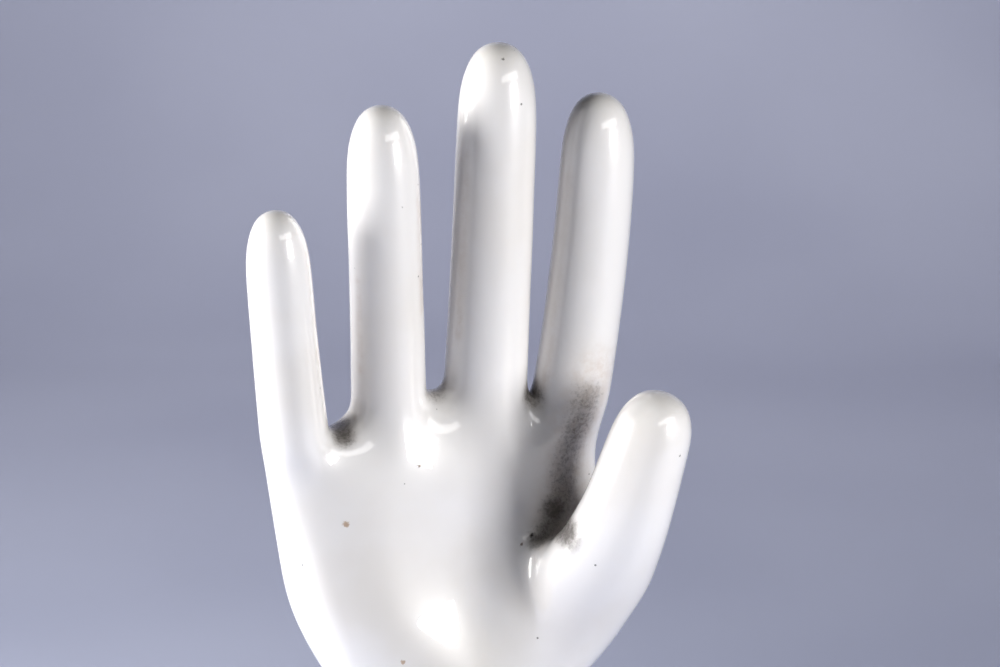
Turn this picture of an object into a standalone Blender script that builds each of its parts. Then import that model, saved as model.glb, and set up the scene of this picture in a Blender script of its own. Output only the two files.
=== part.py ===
"""Glazed porcelain hand: a hollow slip-cast glove form that stands on its cuff.

An expanding plug grips the bore of the cuff from inside: a wing nut draws a stud and its pressure plate
down, which squeezes a rubber bung out against the porcelain.

Metres, +Z up. The origin is the centre of the cuff's rim, on the surface that the form stands on.
The palm faces -Y, the fingers point up and the thumb is at +X.
"""

import math
from typing import NamedTuple

import bmesh
import bpy
from mathutils import Vector

# ---- Driving dimensions of the porcelain form -------------------------------------------------------
WRIST_HEIGHT = 0.155  # rim to the narrowest section
WRIST_HALF_WIDTH = 0.0270
WRIST_HALF_DEPTH = 0.0235
CUFF_RADIUS = 0.044
CUFF_STRAIGHT = 0.066  # the cuff is cylindrical up to here, so that a plug can grip it
WALL = 0.0048  # slip-cast wall
HAND_SHIFT = 0.001  # the hand stands this far towards the thumb from the cuff's axis

# ---- Driving dimensions of the expanding plug -------------------------------------------------------
PLUG_RECESS = 0.024  # rim to the lower plate, room for the wing nut and the hand that turns it
GAP = 0.0003  # between touching pieces
BORE_CLEARANCE = 0.0009  # round the bung and lower plate, because the cuff's bore is not quite round
LOWER_PLATE_THICK = 0.006
BUNG_HEIGHT = 0.022
BUNG_ROUND = 0.002  # rounded edge of the bung
PRESSURE_PLATE_CLEARANCE = 0.0052  # bore to the pressure plate's edge, room for the bung to bulge into
PRESSURE_PLATE_THICK = 0.004
PLATE_CHAMFER = 0.0008
STUD_RADIUS = 0.005
STUD_CHAMFER = 0.001
HOLE_CLEARANCE = 0.0005  # round the stud and the guide pins in what they pass through
STUD_ABOVE_NUT = 0.005
STUD_BELOW_WING_NUT = 0.004
NUT_ACROSS_FLATS = 0.017
NUT_HEIGHT = 0.0084
JAM_NUT_HEIGHT = 0.005
WASHER_RADIUS = 0.0105
WASHER_THICK = 0.002
SPRING_WASHER_WIDTH = 0.003
SPRING_WASHER_THICK = 0.0018
SPRING_WASHER_RISE = 0.0006  # the split ends stand apart by this much
SPRING_WASHER_SPLIT = 6  # degrees from the middle of the split to each end
WING_HUB_RADIUS = 0.0095
WING_HUB_HEIGHT = 0.0105
WING_SPAN = 0.046
WING_THICK = 0.0035
WING_DROP = 0.0055  # how far the wings reach below the hub
GUIDE_PIN_RADIUS = 0.003
GUIDE_PIN_OFFSET = 0.022
GUIDE_PIN_ABOVE = 0.008  # how far a pin stands above the pressure plate, so that it guides all the travel

SEGMENTS = 40  # sides of a turned piece
FINE_SEGMENTS = 20  # sides of a pin or hole
EAR_STEPS = 10  # straight sides round the end of a wing nut's ear
MERGE_DISTANCE = 0.00001


class Finger(NamedTuple):
    """A finger, measured on its outside; heights are above the wrist."""

    root: tuple  # centre of the root: x, y, height
    tip: tuple  # end of the fingertip: x, y, height
    bow: float  # how far the middle of the axis stands off the straight line, along +X
    root_radius: tuple  # half width, half depth
    tip_radius: tuple  # the same where the rounded tip starts
    dome: float  # length of the rounded tip


class Section(NamedTuple):
    """A level section of the palm; height is above the wrist and depths are along Y."""

    height: float
    left: float  # x at the little finger's side
    right: float  # x at the thumb's side
    back: float  # depth of the back of the hand
    heel: float  # depth of the pad under the little finger
    hollow: float  # depth of the middle of the palm
    ball: float  # depth of the ball of the thumb
    square: float  # superellipse power: 2 is an oval, more is squarer
    even: float  # 0 keeps the columns in line with the fingers, 1 spaces them evenly round
    swing: float  # how far the thumb's side is brought forward
    opened: float  # 1 opens the front columns out for the root of the thumb


FINGERS = (
    Finger((-0.0420, -0.002, 0.083), (-0.0473, -0.006, 0.1446), -0.0004,
           (0.0086, 0.0090), (0.0082, 0.0079), 0.0165),
    Finger((-0.0163, 0.001, 0.089), (-0.0189, -0.003, 0.1684), 0.0002,
           (0.0096, 0.0094), (0.0092, 0.0088), 0.0180),
    Finger((0.0096, 0.001, 0.090), (0.0122, -0.003, 0.1823), 0.0002,
           (0.0108, 0.0100), (0.0101, 0.0096), 0.0190),
    Finger((0.0316, -0.002, 0.086), (0.0382, -0.006, 0.1686), 0.0016,
           (0.0101, 0.0098), (0.0097, 0.0092), 0.0190),
)
WEBS = (0.0868, 0.0945, 0.0915)  # height of the crotch to the right of the little, ring and middle fingers
FINGER_RINGS = (0.10, 0.30, 0.53, 0.77, 1.0)  # places of the cage's rings from root to rounded tip
DOME_RINGS = ((0.50, 0.93), (0.91, 0.60))  # place along the rounded tip, and share of the radius
TIP_REACH = 1.10  # the cage's tip stands beyond the smooth tip, as a share of the dome
OPENED_PLACES = ((0, 0.0), (10, 0.68), (11, 0.82), (12, 0.96), (13, 1.0))  # columns spread for the thumb

PALM = (
    Section(0.009, -0.0290, 0.0303, 0.0225, 0.0220, 0.0220, 0.0225, 2.0, 1.0, 0.0020, 0.0),
    Section(0.020, -0.0353, 0.0382, 0.0200, 0.0200, 0.0200, 0.0235, 2.1, 0.7, 0.0070, 0.5),
    Section(0.031, -0.0417, 0.0445, 0.0180, 0.0185, 0.0156, 0.0245, 2.3, 0.3, 0.0120, 1.0),
    Section(0.042, -0.0455, 0.0457, 0.0165, 0.0160, 0.0122, 0.0195, 2.6, 0.3, 0.0125, 1.0),
    Section(0.054, -0.0472, 0.0415, 0.0155, 0.0145, 0.0112, 0.0130, 2.5, 0.2, 0.0060, 1.0),
    Section(0.065, -0.0487, 0.0402, 0.0140, 0.0137, 0.0110, 0.0120, 2.5, 0.1, 0.0020, 0.4),
    Section(0.075, -0.0499, 0.0402, 0.0125, 0.0125, 0.0110, 0.0115, 2.6, 0.0, 0.0000, 0.0),
)
BACK_SWING = 0.6  # share of the swing that the back of the hand takes
HOLLOW_REACH = 0.6  # how far from the middle the hollow of the palm runs out, as a share of the half width


class ThumbRing(NamedTuple):
    """A ring of the thumb's cage: its centre above the wrist, its direction and its half sizes."""

    centre: tuple
    lean: float  # degrees that the thumb leans from upright towards -Y here
    tilt: float  # degrees that it leans towards +X
    radius: tuple  # half width, half depth


THUMB_RINGS = (
    ThumbRing((0.0310, -0.0248, 0.0488), 42, 10, (0.0152, 0.0112)),
    ThumbRing((0.0326, -0.0288, 0.0556), 33, 12, (0.0135, 0.0110)),
    ThumbRing((0.0348, -0.0330, 0.0650), 20, 15, (0.0120, 0.0107)),
    ThumbRing((0.0373, -0.0357, 0.0765), 12, 16, (0.0110, 0.0105)),
    ThumbRing((0.0391, -0.0368, 0.0840), 10, 15, (0.0105, 0.0102)),
)
THUMB_DOME = 0.0150
THUMB_ROWS = (2, 4)  # the palm's sections that bound the patch where the thumb grows
THUMB_COLUMN = 11  # the column through the middle of that patch

COLUMNS = 26  # one at each edge of the hand, and three on the front and back of each finger


def smooth(value):
    """Ease from 0 to 1."""
    value = min(max(value, 0.0), 1.0)
    return value * value * (3 - 2 * value)


def mix(a, b, share):
    return a + (b - a) * share


def cage_scale(sides):
    """How much larger a ring of the cage is than the smooth round that it makes."""
    return 3 / (2 + math.cos(math.tau / sides))


# ---- Scene set-up -----------------------------------------------------------------------------------
for item in list(bpy.data.objects):
    bpy.data.objects.remove(item, do_unlink=True)

parts = bpy.data.collections.new("porcelain_glove_form")
cutters = bpy.data.collections.new("cutters")
bpy.context.scene.collection.children.link(parts)
bpy.context.scene.collection.children.link(cutters)


def make_material(name, colour, roughness, metallic=0.0):
    material = bpy.data.materials.new(name)
    material.use_nodes = True
    shader = material.node_tree.nodes["Principled BSDF"]
    shader.inputs["Base Color"].default_value = (*colour, 1.0)
    shader.inputs["Roughness"].default_value = roughness
    shader.inputs["Metallic"].default_value = metallic
    return material


def add_part(name, mesh, material):
    part = bpy.data.objects.new(name, mesh)
    mesh.materials.append(material)
    parts.objects.link(part)
    return part


def add_cutter(name, mesh):
    cutter = bpy.data.objects.new(name, mesh)
    cutter.hide_render = True
    cutter.display_type = "WIRE"
    cutters.objects.link(cutter)
    return cutter


def mesh_from(name, build):
    """Make a mesh from a function that fills a BMesh."""
    shape = bmesh.new()
    build(shape)
    mesh = bpy.data.meshes.new(name)
    shape.to_mesh(mesh)
    shape.free()
    return mesh


def cut(part, cutter, operation="DIFFERENCE"):
    boolean = part.modifiers.new(cutter.name, "BOOLEAN")
    boolean.operation = operation
    boolean.object = cutter


# ---- Porcelain form ---------------------------------------------------------------------------------
def direction(tilt, lean):
    """Unit vector of a finger that tilts towards +X and leans towards -Y."""
    return Vector((math.sin(tilt) * math.cos(lean), -math.sin(lean), math.cos(tilt) * math.cos(lean)))


def finger_ring(centre, radii, tilt=0.0, lean=0.0):
    """Eight points round a finger: side, front, side, back, starting at the little finger's side."""
    side = Vector((math.cos(tilt), 0, -math.sin(tilt)))
    back = direction(tilt, lean).cross(side)
    scale = cage_scale(8)
    points = []
    for step in range(8):
        angle = math.pi + step * math.tau / 8
        across = side * (radii[0] * scale * math.cos(angle))
        points.append(Vector(centre) + across + back * (radii[1] * scale * math.sin(angle)))
    return points


def finger_axis(finger, share):
    """Centre of a finger at a share of the way from root to tip."""
    point = Vector(finger.root).lerp(Vector(finger.tip), share)
    point.x += finger.bow * 4 * share * (1 - share)
    return point


def finger_rings(finger):
    """Rings of a finger's cage above its root, and the point of its tip."""
    length = (Vector(finger.tip) - Vector(finger.root)).length
    straight = 1 - finger.dome / length
    tilt = math.atan2(finger.tip[0] - finger.root[0], finger.tip[2] - finger.root[2])
    lean = math.atan2(finger.root[1] - finger.tip[1], finger.tip[2] - finger.root[2])
    rings = []
    for share in FINGER_RINGS:
        radii = [mix(a, b, share) for a, b in zip(finger.root_radius, finger.tip_radius)]
        rings.append(finger_ring(finger_axis(finger, straight * share), radii, tilt, lean))
    for place, share in DOME_RINGS:
        radii = [radius * share for radius in finger.tip_radius]
        rings.append(finger_ring(finger_axis(finger, mix(straight, 1, place)), radii, tilt, lean))
    return rings, finger_axis(finger, mix(straight, 1, TIP_REACH))


def thumb_rings():
    """Rings of the thumb's cage above the ball of the thumb, and the point of its tip."""
    rings = [finger_ring(ring.centre, ring.radius, math.radians(ring.tilt), math.radians(ring.lean))
             for ring in THUMB_RINGS]
    last = THUMB_RINGS[-1]
    tilt, lean = math.radians(last.tilt), math.radians(last.lean)
    along = direction(tilt, lean)
    for place, share in DOME_RINGS:
        centre = Vector(last.centre) + along * (THUMB_DOME * place)
        rings.append(finger_ring(centre, [radius * share for radius in last.radius], tilt, lean))
    return rings, Vector(last.centre) + along * (THUMB_DOME * TIP_REACH)


def root_columns():
    """The root ring of every finger, as points round the top of the palm from the little finger's side."""
    rings = [finger_ring(finger.root, finger.root_radius) for finger in FINGERS]
    front = [ring[index] for ring in rings for index in (1, 2, 3)]
    back = [ring[index] for ring in reversed(rings) for index in (5, 6, 7)]
    return [rings[0][0], *front, rings[-1][4], *back], rings


def even_places():
    """Places of the columns across the hand, 0 to 1, when they are spaced evenly round an oval."""
    half = COLUMNS // 2
    front = [(1 - math.cos(math.pi * step / half)) / 2 for step in range(half + 1)]
    return front + front[-2:0:-1]


def opened_place(column):
    """Place across the hand of a front column where the columns open out for the thumb."""
    for (start, low), (end, high) in zip(OPENED_PLACES, OPENED_PLACES[1:]):
        if column <= end:
            return mix(low, high, (column - start) / (end - start))


def palm_ring(section, finger_places):
    """Points round a level section of the palm."""
    half_width = (section.right - section.left) / 2
    points = []
    for column, (place, even) in enumerate(zip(finger_places, even_places())):
        place = mix(place, even, section.even)
        if column <= COLUMNS // 2:
            place = mix(place, opened_place(column), section.opened)
        across = 2 * place - 1
        bulge = max(1 - abs(across) ** section.square, 0.0) ** (1 / section.square)
        side = section.heel if across < 0 else section.ball
        front = mix(section.hollow, side, smooth(abs(across) / HOLLOW_REACH))
        depth = -front if column <= COLUMNS // 2 else section.back
        swing = section.swing * (1 if column <= COLUMNS // 2 else BACK_SWING)
        y = depth * bulge - swing * smooth(across)
        points.append(Vector((section.left + half_width * (1 + across), y, section.height)))
    return points


def oval_ring(half_width, half_depth, height):
    """Points round an oval section of the wrist or cuff."""
    scale = cage_scale(COLUMNS)
    angles = [math.pi + step * math.tau / COLUMNS for step in range(COLUMNS)]
    return [Vector((scale * half_width * math.cos(a), scale * half_depth * math.sin(a), height))
            for a in angles]


def lower_rings():
    """Rings of the cuff and of the neck that draws in from it to the wrist, from the rim up."""
    rings = [oval_ring(CUFF_RADIUS, CUFF_RADIUS, CUFF_STRAIGHT * share) for share in (0, 0.12, 0.5, 0.88, 1)]
    for share in (0.2, 0.4, 0.6, 0.8, 1):
        ease = smooth(share)
        half_width = mix(CUFF_RADIUS, WRIST_HALF_WIDTH, ease)
        half_depth = mix(CUFF_RADIUS, WRIST_HALF_DEPTH, ease)
        rings.append(oval_ring(half_width, half_depth, mix(CUFF_STRAIGHT, WRIST_HEIGHT, share)))
    return rings


def build_hand_cage(cage):
    """Fill a BMesh with the coarse cage of the whole hand, open at the cuff's rim."""
    lift = Vector((HAND_SHIFT, 0, WRIST_HEIGHT))

    def vertices(points, raised=True):
        return [cage.verts.new(point + lift if raised else point) for point in points]

    def bridge(low, high, skip=()):
        count = len(low)
        for step in range(count):
            after = (step + 1) % count
            if step not in skip:
                cage.faces.new((low[step], low[after], high[after], high[step]))

    def close(ring, tip):
        middle = cage.verts.new(tip + lift)
        for step in (0, 2, 4, 6):
            cage.faces.new((ring[step], ring[step + 1], ring[(step + 2) % 8], middle))

    top, roots = root_columns()
    left, right = top[0].x, top[COLUMNS // 2].x
    places = [(point.x - left) / (right - left) for point in top]

    rings = [vertices(points, raised=False) for points in lower_rings()]
    palm = [vertices(palm_ring(section, places)) for section in PALM]
    top_ring = vertices(top)
    first_palm = len(rings)
    rings += [*palm, top_ring]
    patch = (THUMB_COLUMN - 1, THUMB_COLUMN)
    patch_rows = range(first_palm + THUMB_ROWS[0], first_palm + THUMB_ROWS[1])
    for index in range(len(rings) - 1):
        bridge(rings[index], rings[index + 1], skip=patch if index in patch_rows else ())

    # The fingers share the top ring's points at front and back, and have their own at the webs.
    root_rings = []
    for index in range(len(FINGERS)):
        front = [top_ring[1 + 3 * index + step] for step in range(3)]
        back = [top_ring[COLUMNS - 1 - 3 * index - step] for step in range(3)]
        root_rings.append([None, *front, None, *reversed(back)])
    root_rings[0][0] = top_ring[0]
    root_rings[-1][4] = top_ring[COLUMNS // 2]
    for index, height in enumerate(WEBS):
        near, far = roots[index][4].copy(), roots[index + 1][0].copy()
        near.z = far.z = height
        near, far = vertices((near, far))
        root_rings[index][4], root_rings[index + 1][0] = near, far
        one, two = root_rings[index], root_rings[index + 1]
        cage.faces.new((one[3], two[1], far, near))
        cage.faces.new((near, far, two[7], one[5]))

    for ring, finger in zip(root_rings, FINGERS):
        above, tip = finger_rings(finger)
        for points in above:
            following = vertices(points)
            bridge(ring, following)
            ring = following
        close(ring, tip)

    # The thumb grows from a patch two faces wide and two high on the ball of the thumb.
    low, middle, high = (palm[THUMB_ROWS[0] + step] for step in range(3))
    cage.verts.remove(middle[THUMB_COLUMN])
    ring = [middle[THUMB_COLUMN - 1], *(low[THUMB_COLUMN + step] for step in (-1, 0, 1)),
            middle[THUMB_COLUMN + 1], *(high[THUMB_COLUMN + step] for step in (1, 0, -1))]
    above, tip = thumb_rings()
    for points in above:
        following = vertices(points)
        bridge(ring, following)
        ring = following
    close(ring, tip)


def make_form(material):
    form = add_part("hand_form", mesh_from("hand_form", build_hand_cage), material)
    form.data.shade_smooth()
    subdivision = form.modifiers.new("smooth_form", "SUBSURF")
    subdivision.levels = subdivision.render_levels = 1
    shell = form.modifiers.new("cast_wall", "SOLIDIFY")
    shell.thickness = WALL
    shell.offset = -1
    shell.use_even_offset = True


# ---- Expanding plug ---------------------------------------------------------------------------------
BORE_RADIUS = CUFF_RADIUS - WALL
PLUG_RADIUS = BORE_RADIUS - BORE_CLEARANCE
PRESSURE_PLATE_RADIUS = BORE_RADIUS - PRESSURE_PLATE_CLEARANCE
STUD_HOLE = STUD_RADIUS + HOLE_CLEARANCE
LOWER_PLATE_TOP = PLUG_RECESS + LOWER_PLATE_THICK
BUNG_BASE = LOWER_PLATE_TOP + GAP
PRESSURE_PLATE_BASE = BUNG_BASE + BUNG_HEIGHT + GAP
PRESSURE_PLATE_TOP = PRESSURE_PLATE_BASE + PRESSURE_PLATE_THICK
SPRING_WASHER_BASE = PRESSURE_PLATE_TOP + GAP
NUT_BASE = SPRING_WASHER_BASE + SPRING_WASHER_THICK + SPRING_WASHER_RISE + GAP
JAM_NUT_BASE = NUT_BASE + NUT_HEIGHT + GAP
STUD_TOP = JAM_NUT_BASE + JAM_NUT_HEIGHT + STUD_ABOVE_NUT
WASHER_BASE = PLUG_RECESS - GAP - WASHER_THICK
WING_HUB_TOP = WASHER_BASE - GAP
WING_HUB_BASE = WING_HUB_TOP - WING_HUB_HEIGHT
STUD_BASE = WING_HUB_BASE - STUD_BELOW_WING_NUT


def turned_mesh(name, profile, closed=True):
    """A profile of (radius, height) points that runs down its outer side, for a Screw modifier to turn."""
    def build(shape):
        points = [shape.verts.new((radius, 0, height)) for radius, height in profile]
        for one, two in zip(points, points[1:] + points[:1] if closed else points[1:]):
            shape.edges.new((one, two))

    return mesh_from(name, build)


def add_screw(item, segments):
    screw = item.modifiers.new("turn", "SCREW")
    screw.steps = screw.render_steps = segments
    screw.use_merge_vertices = True
    screw.merge_threshold = MERGE_DISTANCE


def turned_part(name, profile, material, segments=SEGMENTS, closed=True):
    part = add_part(name, turned_mesh(name, profile, closed), material)
    add_screw(part, segments)
    return part


def solid_from_curve(curve):
    """A closed mesh of a curve's tube or slab; the curve's object is removed."""
    bpy.context.view_layer.update()
    evaluated = curve.evaluated_get(bpy.context.evaluated_depsgraph_get())
    mesh = bpy.data.meshes.new_from_object(evaluated)
    shape = bmesh.new()
    shape.from_mesh(mesh)
    bmesh.ops.remove_doubles(shape, verts=shape.verts, dist=MERGE_DISTANCE)
    bmesh.ops.recalc_face_normals(shape, faces=shape.faces)
    shape.transform(curve.matrix_world)
    shape.to_mesh(mesh)
    shape.free()
    bpy.data.objects.remove(curve)
    return mesh


def plate_profile(radius, hole, base, top, chamfer):
    """A disc with a hole and a chamfer round both its outer edges."""
    return ((radius - chamfer, top), (radius, top - chamfer), (radius, base + chamfer),
            (radius - chamfer, base), (hole, base), (hole, top))


def guide_hole_cutter(side):
    """A round cutter that clears one guide pin through the whole plug."""
    def build(shape):
        radius = GUIDE_PIN_RADIUS + HOLE_CLEARANCE
        bmesh.ops.create_cone(shape, cap_ends=True, segments=FINE_SEGMENTS, radius1=radius, radius2=radius,
                              depth=2 * (STUD_TOP - STUD_BASE))

    cutter = add_cutter(f"guide_hole_{side:+d}", mesh_from("guide_hole", build))
    cutter.location = (side * GUIDE_PIN_OFFSET, 0, PRESSURE_PLATE_BASE)
    return cutter


def make_plates(aluminium, steel, rubber):
    guide_holes = [guide_hole_cutter(side) for side in (-1, 1)]
    lower = turned_part("lower_plate", plate_profile(
        PLUG_RADIUS, STUD_HOLE, PLUG_RECESS, LOWER_PLATE_TOP, PLATE_CHAMFER), aluminium)
    bung = turned_part("rubber_bung", plate_profile(
        PLUG_RADIUS, STUD_HOLE, BUNG_BASE, BUNG_BASE + BUNG_HEIGHT, BUNG_ROUND), rubber)
    pressure = turned_part("pressure_plate", plate_profile(
        PRESSURE_PLATE_RADIUS, STUD_HOLE, PRESSURE_PLATE_BASE, PRESSURE_PLATE_TOP, PLATE_CHAMFER), steel)
    for part in (lower, bung, pressure):
        for cutter in guide_holes:
            cut(part, cutter)


def make_guide_pins(steel):
    """Two pins pressed into the lower plate, which stop the pressure plate from turning with the wing nut."""
    top = PRESSURE_PLATE_TOP + GUIDE_PIN_ABOVE
    chamfer = GUIDE_PIN_RADIUS / 5
    profile = ((0, top), (GUIDE_PIN_RADIUS - chamfer, top), (GUIDE_PIN_RADIUS, top - chamfer),
               (GUIDE_PIN_RADIUS, PLUG_RECESS), (0, PLUG_RECESS))
    for side, name in ((-1, "guide_pin_left"), (1, "guide_pin_right")):
        pin = turned_part(name, profile, steel, FINE_SEGMENTS, closed=False)
        pin.location.x = side * GUIDE_PIN_OFFSET


def make_stud(steel):
    inner = STUD_RADIUS - STUD_CHAMFER
    profile = ((0, STUD_TOP), (inner, STUD_TOP), (STUD_RADIUS, STUD_TOP - STUD_CHAMFER),
               (STUD_RADIUS, STUD_BASE + STUD_CHAMFER), (inner, STUD_BASE), (0, STUD_BASE))
    turned_part("draw_stud", profile, steel, FINE_SEGMENTS, closed=False)


def make_nut(name, base, height, steel):
    """A hexagon nut with its corners chamfered by a turned barrel, which also carries the bore."""
    corner = NUT_ACROSS_FLATS / 2 / math.cos(math.radians(30))
    flat = NUT_ACROSS_FLATS / 2 * 0.98
    drop = (corner - flat) * math.tan(math.radians(30))
    outside = corner * 1.2
    slope = (outside - flat) * math.tan(math.radians(30))
    bore = STUD_RADIUS + GAP
    barrel = add_cutter(name + "_barrel", turned_mesh(name + "_barrel", (
        (flat, base + height), (outside, base + height - slope), (outside, base + slope), (flat, base),
        (bore, base), (bore, base + height))))
    add_screw(barrel, SEGMENTS)

    def build(shape):
        made = bmesh.ops.create_cone(shape, cap_ends=True, segments=6, radius1=corner, radius2=corner,
                                     depth=height + 2 * drop)
        bmesh.ops.translate(shape, verts=made["verts"], vec=(0, 0, base + height / 2))

    nut = add_part(name, mesh_from(name, build), steel)
    cut(nut, barrel, "INTERSECT")


def make_spring_washer(steel):
    """A split ring whose ends stand slightly apart in height."""
    middle = STUD_RADIUS + HOLE_CLEARANCE + SPRING_WASHER_WIDTH / 2
    section = bpy.data.curves.new("spring_washer_section", "CURVE")
    section.dimensions = "2D"
    outline = section.splines.new("POLY")
    outline.points.add(3)
    outline.use_cyclic_u = True
    for point, (x, y) in zip(outline.points, ((1, 1), (-1, 1), (-1, -1), (1, -1))):
        point.co = (x * SPRING_WASHER_WIDTH / 2, y * SPRING_WASHER_THICK / 2, 0, 1)
    guide = add_cutter("spring_washer_section", section)
    curve = bpy.data.curves.new("spring_washer_path", "CURVE")
    curve.dimensions = "3D"
    curve.bevel_mode = "OBJECT"
    curve.bevel_object = guide
    curve.use_fill_caps = True
    curve.twist_mode = "Z_UP"
    path = curve.splines.new("POLY")
    path.points.add(SEGMENTS)
    for step, point in enumerate(path.points):
        share = step / SEGMENTS
        angle = math.radians(mix(SPRING_WASHER_SPLIT, 360 - SPRING_WASHER_SPLIT, share))
        height = SPRING_WASHER_BASE + SPRING_WASHER_THICK / 2 + SPRING_WASHER_RISE * share
        point.co = (middle * math.cos(angle), middle * math.sin(angle), height, 1)
    add_part("spring_washer", solid_from_curve(add_cutter("spring_washer_path", curve)), steel)


def make_wing_nut(brass):
    """A hub with two rounded ears that reach out and down from it."""
    bore = STUD_RADIUS + GAP
    shoulder = WING_HUB_HEIGHT * 0.3
    waist = WING_HUB_RADIUS * 0.82
    hub = turned_part("wing_nut", (
        (WING_HUB_RADIUS, WING_HUB_TOP), (WING_HUB_RADIUS, WING_HUB_TOP - shoulder), (waist, WING_HUB_BASE),
        (bore, WING_HUB_BASE), (bore, WING_HUB_TOP)), brass)
    ear_radius = WING_DROP + shoulder
    reach = WING_SPAN / 2 - ear_radius
    inner = (bore + waist) / 2
    low = WING_HUB_BASE - WING_DROP
    points = [(inner, WING_HUB_TOP - shoulder / 2), (reach, low + 2 * ear_radius)]
    for step in range(1, EAR_STEPS):
        angle = math.pi / 2 - math.pi * step / EAR_STEPS
        points.append((reach + ear_radius * math.cos(angle), low + ear_radius * (1 + math.sin(angle))))
    points += [(reach, low), (inner, WING_HUB_BASE + shoulder / 2)]
    for side in (-1, 1):
        outline = bpy.data.curves.new("ear", "CURVE")
        outline.dimensions = "2D"
        outline.fill_mode = "BOTH"
        outline.extrude = WING_THICK / 2
        spline = outline.splines.new("POLY")
        spline.points.add(len(points) - 1)
        spline.use_cyclic_u = True
        for point, (x, height) in zip(spline.points, points):
            point.co = (side * x, height, 0, 1)
        curve = add_cutter("ear_outline", outline)
        curve.rotation_euler.x = math.radians(90)
        cut(hub, add_cutter(f"ear_{side:+d}", solid_from_curve(curve)), "UNION")


porcelain = make_material("glazed_porcelain", (0.90, 0.89, 0.87), 0.08)
cast_aluminium = make_material("cast_aluminium", (0.66, 0.67, 0.68), 0.38, 1.0)
zinc_steel = make_material("zinc_plated_steel", (0.60, 0.61, 0.62), 0.30, 1.0)
black_rubber = make_material("black_rubber", (0.035, 0.035, 0.037), 0.75)
cast_brass = make_material("cast_brass", (0.72, 0.55, 0.28), 0.32, 1.0)

make_form(porcelain)
make_plates(cast_aluminium, zinc_steel, black_rubber)
make_guide_pins(zinc_steel)
make_stud(zinc_steel)
make_nut("stud_nut", NUT_BASE, NUT_HEIGHT, zinc_steel)
make_nut("jam_nut", JAM_NUT_BASE, JAM_NUT_HEIGHT, zinc_steel)
make_spring_washer(zinc_steel)
turned_part("flat_washer", plate_profile(WASHER_RADIUS, STUD_HOLE, WASHER_BASE, WASHER_BASE + WASHER_THICK,
                                         WASHER_THICK / 8), zinc_steel)
make_wing_nut(cast_brass)
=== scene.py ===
"""Looks of a glazed porcelain glove form that stands on its cuff, with the expanding plug inside the cuff.

The shapes are in metres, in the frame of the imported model: +Z up, the palm faces -Y, the thumb is at +X.
"""

import logging
import math
from dataclasses import dataclass, replace
from enum import Enum
from typing import Callable, Iterable, Optional, Sequence

import bmesh
import bpy
import numpy as np
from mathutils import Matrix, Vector
from mathutils.bvhtree import BVHTree


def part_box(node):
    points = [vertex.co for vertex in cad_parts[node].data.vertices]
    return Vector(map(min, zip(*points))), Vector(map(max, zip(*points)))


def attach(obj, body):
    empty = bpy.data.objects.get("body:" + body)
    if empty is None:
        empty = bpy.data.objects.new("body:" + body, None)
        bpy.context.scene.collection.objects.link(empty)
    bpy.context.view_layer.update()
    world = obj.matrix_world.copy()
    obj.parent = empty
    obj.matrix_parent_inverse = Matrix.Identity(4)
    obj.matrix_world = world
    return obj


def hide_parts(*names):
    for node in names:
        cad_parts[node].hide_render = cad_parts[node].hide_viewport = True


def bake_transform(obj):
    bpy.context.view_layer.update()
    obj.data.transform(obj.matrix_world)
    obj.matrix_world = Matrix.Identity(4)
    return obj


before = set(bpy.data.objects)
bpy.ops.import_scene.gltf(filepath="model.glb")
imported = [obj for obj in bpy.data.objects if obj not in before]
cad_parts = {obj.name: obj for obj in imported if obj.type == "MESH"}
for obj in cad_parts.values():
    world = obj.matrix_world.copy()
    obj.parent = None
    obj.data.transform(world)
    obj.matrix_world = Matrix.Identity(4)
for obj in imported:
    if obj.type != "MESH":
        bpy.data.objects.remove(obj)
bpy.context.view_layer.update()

logging.basicConfig(level=logging.INFO, format="%(message)s")
log = logging.getLogger("glove_form")

MM = 0.001
Point = tuple[float, float, float]
Profile = Sequence[tuple[float, float]]


# ---- Small tools ------------------------------------------------------------------------------------
def smooth(value: float) -> float:
    """Ease a value from 0 to 1.

    Args:
        value: where the ease is read; it is held between 0 and 1.

    Returns:
        The eased value.
    """
    value = min(max(value, 0.0), 1.0)
    return value * value * (3 - 2 * value)


def mix(a: float, b: float, share: float) -> float:
    """Return the value at a share of the way from a to b."""
    return a + (b - a) * share


def cage_scale(sides: int) -> float:
    """Return how much larger a ring of a subdivision cage is than the round that it makes."""
    return 3 / (2 + math.cos(math.tau / sides))


def direction(tilt: float, lean: float) -> Vector:
    """Return the unit vector that tilts from upright towards +X and leans towards -Y, both in radians."""
    return Vector((math.sin(tilt) * math.cos(lean), -math.sin(lean), math.cos(tilt) * math.cos(lean)))


def mesh_from(name: str, fill: Callable[[bmesh.types.BMesh], None]) -> bpy.types.Mesh:
    """Make a mesh with a function that fills a BMesh.

    Args:
        name: the mesh's name.
        fill: called with the empty BMesh.

    Returns:
        The new mesh.
    """
    shape = bmesh.new()
    fill(shape)
    mesh = bpy.data.meshes.new(name)
    shape.to_mesh(mesh)
    shape.free()
    return mesh


def place(name: str, mesh: bpy.types.Mesh) -> bpy.types.Object:
    """Put a mesh in the scene as an object of the same place."""
    item = bpy.data.objects.new(name, mesh)
    bpy.context.scene.collection.objects.link(item)
    return item


def settle(item: bpy.types.Object) -> bpy.types.Object:
    """Replace an object's mesh with what its modifiers make of it.

    Args:
        item: the object; its modifiers are removed.

    Returns:
        The same object.
    """
    bpy.context.view_layer.update()
    evaluated = item.evaluated_get(bpy.context.evaluated_depsgraph_get())
    mesh = bpy.data.meshes.new_from_object(evaluated)
    item.modifiers.clear()
    item.data = mesh
    return item


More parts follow.
